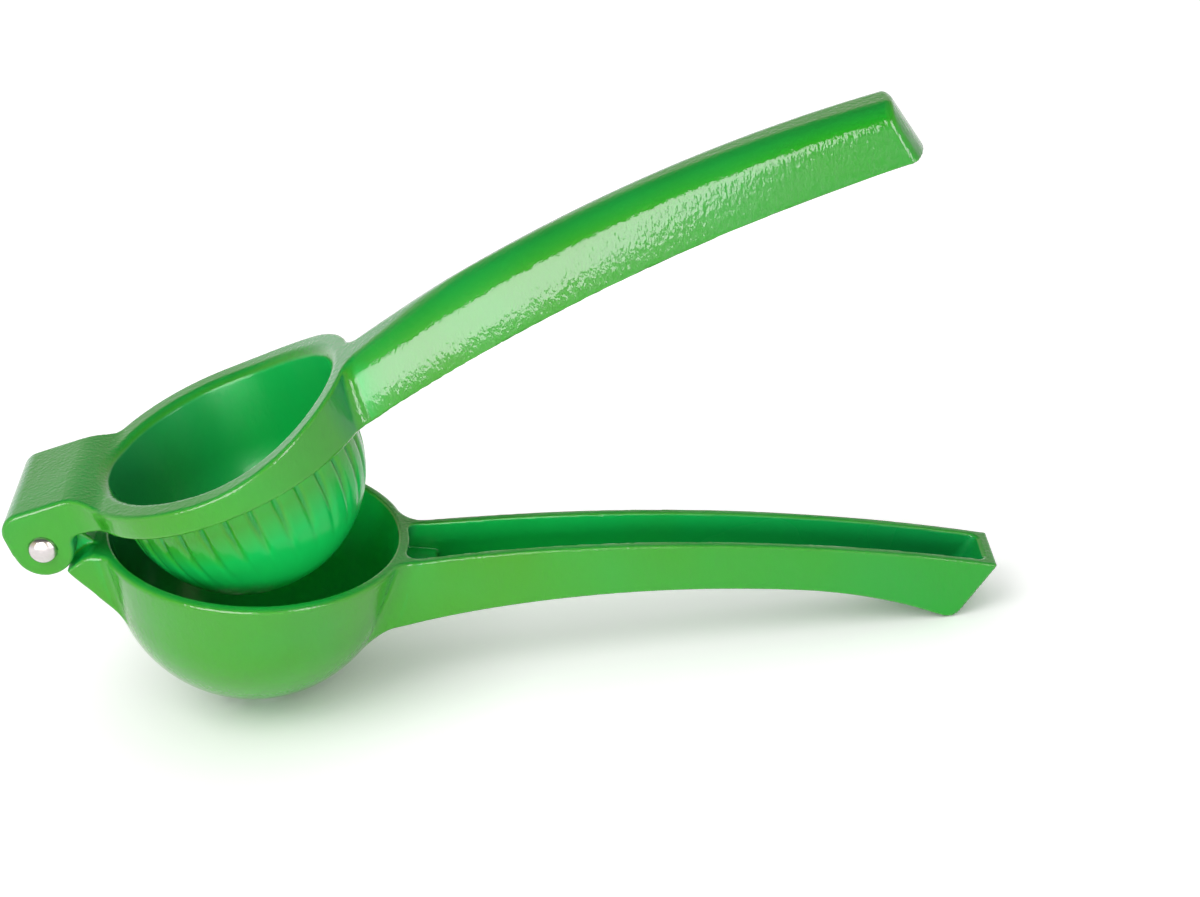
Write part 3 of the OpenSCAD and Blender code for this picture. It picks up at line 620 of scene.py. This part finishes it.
def groovedCupTree():
    tree = bpy.data.node_groups.new("groovedCup", "GeometryNodeTree")
    for name in ("Radius", "Neck", "Wall", "Groove Count", "Groove Width", "Groove Depth", "Fade"):
        socket = tree.interface.new_socket(name=name, in_out="INPUT", socket_type="NodeSocketFloat")
        socket.default_value = cup[name]
    tree.interface.new_socket(name="Geometry", in_out="OUTPUT", socket_type="NodeSocketGeometry")
    size = addNode(tree, "NodeGroupInput").outputs
    maths = "ShaderNodeMath"
    rows = cup["insideRows"] + 1 + cup["outsideRows"]
    columns = int(cup["Groove Count"]) * cup["facesPerGroove"]
    grid = addNode(tree, "GeometryNodeMeshGrid", {
        "Size X": 1.0, "Size Y": 1.0, "Vertices X": columns + 1, "Vertices Y": rows + 1})
    point = addNode(tree, "GeometryNodeInputPosition").outputs[0]
    place = addNode(tree, "ShaderNodeSeparateXYZ", {0: point})
    u = addNode(tree, maths, {0: place.outputs["X"], 1: 0.5}, operation="ADD").outputs[0]
    row = addNode(tree, maths, {0: place.outputs["Y"], 1: rows, 2: rows / 2},
                  operation="MULTIPLY_ADD").outputs[0]

    # round the cup: faces crowd into the middle of each groove
    turns = addNode(tree, maths, {0: u, 1: size["Groove Count"]}, operation="MULTIPLY").outputs[0]
    whole = addNode(tree, maths, {0: turns}, operation="FLOOR").outputs[0]
    part = addNode(tree, maths, {0: turns}, operation="FRACT").outputs[0]
    cell = addNode(tree, maths, {0: part, 1: 0.5}, operation="SUBTRACT").outputs[0]
    cube = addNode(tree, maths, {0: cell, 1: 3.0}, operation="POWER").outputs[0]
    spread = addNode(tree, maths, {0: cube, 1: 4 * cup["crowding"]}, operation="MULTIPLY").outputs[0]
    across = addNode(tree, maths, {0: cell, 1: 1 - cup["crowding"], 2: spread},
                     operation="MULTIPLY_ADD").outputs[0]
    centre = addNode(tree, maths, {0: whole, 1: 0.5}, operation="ADD").outputs[0]
    step = addNode(tree, maths, {0: 2 * math.pi, 1: size["Groove Count"]}, operation="DIVIDE").outputs[0]
    bearing = addNode(tree, maths, {0: centre, 1: across}, operation="ADD").outputs[0]
    bearing = addNode(tree, maths, {0: bearing, 1: step}, operation="MULTIPLY").outputs[0]

    # along the wall: up the inside from its pole, over the top, down the outside to its pole
    outside = addNode(tree, maths, {0: row, 1: cup["insideRows"] + 0.5},
                      operation="GREATER_THAN").outputs[0]
    inner = addNode(tree, maths, {0: outside, 1: 1.0}, operation="SUBTRACT").outputs[0]
    radius = addNode(tree, maths, {0: inner, 1: size["Wall"], 2: size["Radius"]},
                     operation="MULTIPLY_ADD").outputs[0]
    length = addNode(tree, maths, {0: radius, 1: math.pi / 2, 2: size["Neck"]},
                     operation="MULTIPLY_ADD").outputs[0]
    downIn = addNode(tree, "ShaderNodeMapRange", {
        "Value": row, "From Min": 0.0, "From Max": cup["insideRows"],
        "To Min": 1.0, "To Max": 0.0}).outputs[0]
    downOut = addNode(tree, "ShaderNodeMapRange", {
        "Value": row, "From Min": cup["insideRows"] + 1.0, "From Max": float(rows)}).outputs[0]
    share = addNode(tree, "ShaderNodeMix", {"Factor": outside, "A": downIn, "B": downOut}).outputs[0]
    run = addNode(tree, maths, {0: share, 1: length}, operation="MULTIPLY").outputs[0]
    straight = addNode(tree, maths, {0: run, 1: size["Neck"]}, operation="MINIMUM").outputs[0]
    lift = addNode(tree, maths, {0: size["Neck"], 1: straight}, operation="SUBTRACT").outputs[0]
    curved = addNode(tree, maths, {0: run, 1: straight}, operation="SUBTRACT").outputs[0]
    dip = addNode(tree, maths, {0: curved, 1: radius}, operation="DIVIDE").outputs[0]
    sine = addNode(tree, maths, {0: dip}, operation="SINE").outputs[0]
    cosine = addNode(tree, maths, {0: dip}, operation="COSINE").outputs[0]

    # groove: a soft notch that runs out where the wall turns under
    width = addNode(tree, maths, {0: across, 1: step}, operation="MULTIPLY").outputs[0]
    width = addNode(tree, maths, {0: width, 1: radius}, operation="MULTIPLY").outputs[0]
    width = addNode(tree, maths, {0: width, 1: cosine}, operation="MULTIPLY").outputs[0]
    width = addNode(tree, maths, {0: width}, operation="ABSOLUTE").outputs[0]
    half = addNode(tree, maths, {0: size["Groove Width"], 1: 0.5}, operation="MULTIPLY").outputs[0]
    notch = addNode(tree, "ShaderNodeMapRange", {"Value": width, "From Min": half, "From Max": 0.0},
                    interpolation_type="SMOOTHSTEP").outputs[0]
    fade = addNode(tree, "ShaderNodeMapRange", {
        "Value": sine, "From Min": size["Fade"], "From Max": 0.0}).outputs[0]
    depth = addNode(tree, maths, {0: notch, 1: fade}, operation="MULTIPLY").outputs[0]
    depth = addNode(tree, maths, {0: depth, 1: outside}, operation="MULTIPLY").outputs[0]
    cut = addNode(tree, maths, {0: depth, 1: size["Groove Depth"]}, operation="MULTIPLY").outputs[0]
    reach = addNode(tree, maths, {0: radius, 1: cut}, operation="SUBTRACT").outputs[0]

    out = addNode(tree, maths, {0: reach, 1: cosine}, operation="MULTIPLY").outputs[0]
    drop = addNode(tree, maths, {0: reach, 1: sine}, operation="MULTIPLY").outputs[0]
    height = addNode(tree, maths, {0: lift, 1: drop}, operation="SUBTRACT").outputs[0]
    east = addNode(tree, maths, {0: bearing}, operation="COSINE").outputs[0]
    north = addNode(tree, maths, {0: bearing}, operation="SINE").outputs[0]
    spot = addNode(tree, "ShaderNodeCombineXYZ", {
        "X": addNode(tree, maths, {0: out, 1: east}, operation="MULTIPLY").outputs[0],
        "Y": addNode(tree, maths, {0: out, 1: north}, operation="MULTIPLY").outputs[0],
        "Z": height})
    turn = addNode(tree, maths, {0: depth, 1: -1.0}, operation="MULTIPLY").outputs[0]
    low = addNode(tree, "ShaderNodeMapRange", {
        "Value": sine, "From Min": cup["shelterSpan"][0], "From Max": cup["shelterSpan"][1]}).outputs[0]
    hidden = addNode(tree, maths, {0: depth, 1: cup["grooveShelter"], 2: low},
                     operation="MULTIPLY_ADD").outputs[0]
    marked = grid.outputs["Mesh"]
    # the groove depth and the downturned lower wall carry the enamel's painted shade
    for name, value in (("edgeTurn", turn), ("shelter", hidden), ("upAndGrooveShadeMask", depth)):
        marked = addNode(tree, "GeometryNodeStoreNamedAttribute", {
            "Geometry": marked, "Name": name, "Value": value}).outputs[0]
    moved = addNode(tree, "GeometryNodeSetPosition", {"Geometry": marked, "Position": spot.outputs[0]})
    closed = addNode(tree, "GeometryNodeMergeByDistance", {
        "Geometry": moved.outputs[0], "Distance": casting["weld"]})
    smooth = addNode(tree, "GeometryNodeSetShadeSmooth", {"Geometry": closed.outputs[0]})
    real = addNode(tree, "GeometryNodeRealizeInstances", {"Geometry": smooth.outputs[0]})
    painted = addNode(tree, "GeometryNodeSetMaterial", {
        "Geometry": real.outputs[0], "Material": greenEnamel})
    addNode(tree, "NodeGroupOutput", {"Geometry": painted.outputs[0]})
    return tree


def grownPiece(name, tree, sizes, toRow):
    # runs a node tree and keeps its result as a plain mesh in the row frame
    host = bpy.data.objects.new(name + "Host", bpy.data.meshes.new(name + "Host"))
    bpy.context.scene.collection.objects.link(host)
    modifier = host.modifiers.new(name, "NODES")
    modifier.node_group = tree
    for item in tree.interface.items_tree:
        if item.in_out == "INPUT" and item.name in sizes:
            modifier[item.identifier] = sizes[item.name]
    graph = bpy.context.evaluated_depsgraph_get()
    mesh = bpy.data.meshes.new_from_object(host.evaluated_get(graph))
    host.modifiers.clear()
    bpy.data.objects.remove(host)
    mesh.name = name
    mesh.transform(toRow)
    piece = bpy.data.objects.new(name, mesh)
    bpy.context.scene.collection.objects.link(piece)
    mesh.calc_loop_triangles()
    print(name, "grown:", len(mesh.vertices), "points,", len(mesh.loop_triangles), "triangles")
    return piece


cupPlace = closedToRow() @ Matrix.Translation((-upper["offset"], 0, -upper["cupDrop"]))
pressCup = grownPiece("pressCup", groovedCupTree(), cup, cupPlace)


# Hinge rivet: one shank and a domed head at each end, by Geometry Nodes

rivet = {
    "Shank Radius": 2.5, "Head Radius": 3.0, "Head Height": 1.5, "Grip": 28.4,
    "domeFlat": 2.3, "domeFull": 0.62,  # powers of the dome's section: flatter top, fuller side
    "around": 64, "domeRows": 14,
}


def rivetTree():
    tree = bpy.data.node_groups.new("domedRivet", "GeometryNodeTree")
    for name in ("Shank Radius", "Head Radius", "Head Height", "Grip"):
        socket = tree.interface.new_socket(name=name, in_out="INPUT", socket_type="NodeSocketFloat")
        socket.default_value = rivet[name]
    tree.interface.new_socket(name="Geometry", in_out="OUTPUT", socket_type="NodeSocketGeometry")
    size = addNode(tree, "NodeGroupInput").outputs
    maths = "ShaderNodeMath"
    shank = addNode(tree, "GeometryNodeMeshCylinder", {
        "Vertices": rivet["around"], "Radius": size["Shank Radius"], "Depth": size["Grip"]})
    disk = addNode(tree, "GeometryNodeMeshCylinder", {
        "Vertices": rivet["around"], "Fill Segments": rivet["domeRows"],
        "Radius": size["Head Radius"], "Depth": size["Head Height"]})
    point = addNode(tree, "GeometryNodeInputPosition").outputs[0]
    place = addNode(tree, "ShaderNodeSeparateXYZ", {0: point})
    flat = addNode(tree, "ShaderNodeCombineXYZ", {"X": place.outputs["X"], "Y": place.outputs["Y"]})
    out = addNode(tree, "ShaderNodeVectorMath", {0: flat.outputs[0]}, operation="LENGTH").outputs["Value"]
    share = addNode(tree, maths, {0: out, 1: size["Head Radius"]},
                    operation="DIVIDE", use_clamp=True).outputs[0]
    share = addNode(tree, maths, {0: share, 1: rivet["domeFlat"]}, operation="POWER").outputs[0]
    left = addNode(tree, maths, {0: 1.0, 1: share}, operation="SUBTRACT", use_clamp=True).outputs[0]
    dome = addNode(tree, maths, {0: left, 1: rivet["domeFull"]}, operation="POWER").outputs[0]
    rise = addNode(tree, maths, {0: dome, 1: size["Head Height"]}, operation="MULTIPLY").outputs[0]
    onTop = addNode(tree, maths, {0: place.outputs["Z"], 1: 0.0}, operation="GREATER_THAN").outputs[0]
    rise = addNode(tree, maths, {0: rise, 1: onTop}, operation="MULTIPLY").outputs[0]
    seat = addNode(tree, maths, {0: size["Grip"], 1: 0.5}, operation="MULTIPLY").outputs[0]
    height = addNode(tree, maths, {0: seat, 1: rise}, operation="ADD").outputs[0]
    spot = addNode(tree, "ShaderNodeCombineXYZ", {
        "X": place.outputs["X"], "Y": place.outputs["Y"], "Z": height})
    head = addNode(tree, "GeometryNodeSetPosition", {
        "Geometry": disk.outputs["Mesh"], "Position": spot.outputs[0]})
    head = addNode(tree, "GeometryNodeMergeByDistance", {
        "Geometry": head.outputs[0], "Distance": casting["weld"]})
    head = addNode(tree, "GeometryNodeSetShadeSmooth", {"Geometry": head.outputs[0]})
    other = addNode(tree, "GeometryNodeTransform", {
        "Geometry": head.outputs[0], "Rotation": (math.pi, 0, 0)})
    both = addNode(tree, "GeometryNodeJoinGeometry")
    for part in (other.outputs[0], head.outputs[0], shank.outputs["Mesh"]):
        tree.links.new(part, both.inputs[0])
    real = addNode(tree, "GeometryNodeRealizeInstances", {"Geometry": both.outputs[0]})
    bright = addNode(tree, "GeometryNodeSetMaterial", {
        "Geometry": real.outputs[0], "Material": brightSteel})
    addNode(tree, "NodeGroupOutput", {"Geometry": bright.outputs[0]})
    return tree


rivetPlace = (levelToRow() @ Matrix.Translation((stand["pin"][0], 0, stand["pin"][1]))
              @ Matrix.Rotation(math.pi / 2, 4, "X"))
hingeRivet = grownPiece("hingeRivet", rivetTree(), rivet, rivetPlace)

# What rides with what
for piece, body, node, slot in (
        (bowlArm, "lower", "bowl_arm", "enamel"),
        (pressArm, "upper", "press_arm", "enamel"),
        (pressCup, "upper", "press_arm", "enamel"),
        (hingeRivet, "upper", "hinge_rivet", "rivet_steel")):
    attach(piece, body)
    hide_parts(node)
print("pieces ride on their bodies")


# Floor, light and camera

studio = {
    "floor": "#e4e4e2", "floorSize": 8.0, "floorGlow": 0.67,  # glow that brings the lit floor up to white
    "farGlow": 0.9, "farSpan": (0.3, 1.0),   # more of it where the lamps fall off, m from the middle
    "shadeReach": 0.034,                     # m, reach of the painted contact shadow: the glow fades this close under the press
    "ambient": 0.26,
    # what the gloss mirrors, by sine of elevation
    "room": ((0.10, "#ffffff"), (0.28, "#e5dec0"), (0.50, "#d5cfb2"), (0.72, "#5f5f5f")),
    # lamps: place, target and size in metres, watts, whether the gloss mirrors it, whether it lights
    "lamps": {
        "frontBox": ((-0.278, -0.72, 0.285), (-0.278, 0, 0.285), (0.644, 0.51), 8.8, True, False),
        "rightBox": ((0.55, -0.60, 0.28), (0, 0, 0.08), (0.25, 0.5), 3.3, True, False),
        "frontFill": ((0.03, -0.72, 0.15), (0.03, 0, 0.15), (0.56, 0.29), 3.2, False, True),
        "leftFill": ((-0.55, -0.5, 1.1), (0, 0, 0.05), (0.8, 0.8), 6.8, False, True),
        "backFill": ((0, 0.9, 0.1), (0, 0, 0.1), (1.2, 0.16), 2.8, False, True),
        "backWall": ((0, 1.3, 0.3), (0, 0, 0.1), (3.0, 0.6), 1.0, True, False),
    },
    "eye": (35.158, -440.532, 253.462),      # camera, level frame, mm
    "turn": -4.62, "pitch": 27.46, "roll": 5.28, "lens": 72.0, "sensor": 36.0,
    "clip": (0.01, 50.0),                    # m, nearest and farthest that it sees
}


def makeFloor():
    mesh = bpy.data.meshes.new("floor")
    s = studio["floorSize"] / 2
    mesh.from_pydata([(-s, -s, 0), (s, -s, 0), (s, s, 0), (-s, s, 0)], [], [(0, 1, 2, 3)])
    floor = bpy.data.objects.new("floor", mesh)
    bpy.context.scene.collection.objects.link(floor)
    mat = bpy.data.materials.new("paleFloor")
    mat.use_nodes = True
    tree = mat.node_tree
    maths = "ShaderNodeMath"
    shader = tree.nodes["Principled BSDF"]
    shader.inputs["Base Color"].default_value = hexColour(studio["floor"])
    shader.inputs["Roughness"].default_value = 0.9
    shader.inputs["Specular IOR Level"].default_value = 0.0
    shader.inputs["Emission Color"].default_value = (1, 1, 1, 1)
    path = addNode(tree, "ShaderNodeLightPath").outputs
    mirrored = addNode(tree, maths, {0: path["Is Glossy Ray"], 1: path["Is Transmission Ray"]},
                       operation="ADD").outputs[0]
    seen = addNode(tree, maths, {0: path["Is Camera Ray"], 1: mirrored},
                   operation="ADD", use_clamp=True).outputs[0]
    place = addNode(tree, "ShaderNodeTexCoord").outputs["Object"]
    away = addNode(tree, "ShaderNodeVectorMath", {0: place}, operation="LENGTH").outputs["Value"]
    white = addNode(tree, "ShaderNodeMapRange", {
        "Value": away, "From Min": studio["farSpan"][0], "From Max": studio["farSpan"][1],
        "To Min": studio["floorGlow"], "To Max": studio["farGlow"]}).outputs[0]
    # painted contact shadow: occlusion darkens the floor's glow under the press
    contactShadow = addNode(tree, "ShaderNodeAmbientOcclusion", {"Distance": studio["shadeReach"]}, samples=8)
    glow = addNode(tree, maths, {0: seen, 1: white}, operation="MULTIPLY").outputs[0]
    glow = addNode(tree, maths, {0: glow, 1: contactShadow.outputs["AO"]}, operation="MULTIPLY").outputs[0]
    tree.links.new(glow, shader.inputs["Emission Strength"])
    mesh.materials.append(mat)


def makeWorld():
    # white to the camera; in reflections white walls under a dim ceiling; gentler as a light
    world = bpy.data.worlds.new("studioWhite")
    bpy.context.scene.world = world
    world.use_nodes = True
    tree = world.node_tree
    path = addNode(tree, "ShaderNodeLightPath").outputs
    toward = addNode(tree, "ShaderNodeTexCoord").outputs["Generated"]
    rise = addNode(tree, "ShaderNodeSeparateXYZ", {0: toward}).outputs["Z"]
    room = addNode(tree, "ShaderNodeValToRGB", {"Fac": rise})
    stops = room.color_ramp.elements
    while len(stops) < len(studio["room"]):
        stops.new(0.5)
    for stop, (height, tone) in zip(stops, studio["room"]):
        stop.position, stop.color = height, hexColour(tone)
    mirrored = addNode(tree, "ShaderNodeMath", {0: path["Is Glossy Ray"], 1: path["Is Transmission Ray"]},
                       operation="ADD", use_clamp=True).outputs[0]
    seen = [studio["ambient"]] * 3 + [1]
    for share, other in ((mirrored, room.outputs[0]), (path["Is Camera Ray"], (1, 1, 1, 1))):
        seen = addNode(tree, "ShaderNodeMix", {"Factor": share, 6: seen, 7: other},
                       data_type="RGBA").outputs[2]
    tree.links.new(seen, tree.nodes["Background"].inputs["Color"])
    tree.nodes["Background"].inputs["Strength"].default_value = 1.0


def makeLamp(name, place, target, size, watts, mirrored, lit):
    lamp = bpy.data.lights.new(name, "AREA")
    lamp.shape, lamp.size, lamp.size_y, lamp.energy = "RECTANGLE", size[0], size[1], watts
    holder = bpy.data.objects.new(name, lamp)
    holder.location = place
    holder.rotation_euler = (Vector(target) - Vector(place)).to_track_quat("-Z", "Y").to_euler()
    holder.visible_glossy, holder.visible_diffuse = mirrored, lit
    bpy.context.scene.collection.objects.link(holder)


def makeCamera():
    turn, pitch, roll = (math.radians(studio[k]) for k in ("turn", "pitch", "roll"))
    right = Vector((math.cos(turn), math.sin(turn), 0))
    ahead = Vector((-math.sin(turn), math.cos(turn), 0))
    look = ahead * math.cos(pitch) - Vector((0, 0, math.sin(pitch)))
    up = ahead * math.sin(pitch) + Vector((0, 0, math.cos(pitch)))
    rolledRight = right * math.cos(roll) + up * math.sin(roll)
    rolledUp = up * math.cos(roll) - right * math.sin(roll)
    level = Matrix((rolledRight, rolledUp, -look)).transposed().to_4x4()
    toRow = levelToRow()
    cam = bpy.data.cameras.new("camera")
    cam.sensor_width, cam.lens = studio["sensor"], studio["lens"]
    cam.clip_start, cam.clip_end = studio["clip"]
    holder = bpy.data.objects.new("camera", cam)
    holder.matrix_world = (Matrix.Translation(toRow @ Vector(studio["eye"]))
                           @ toRow.to_quaternion().to_matrix().to_4x4() @ level)
    bpy.context.scene.collection.objects.link(holder)
    bpy.context.scene.camera = holder


makeFloor()
makeWorld()
for name, lamp in studio["lamps"].items():
    makeLamp(name, *lamp)
makeCamera()
print("floor, light and camera set")
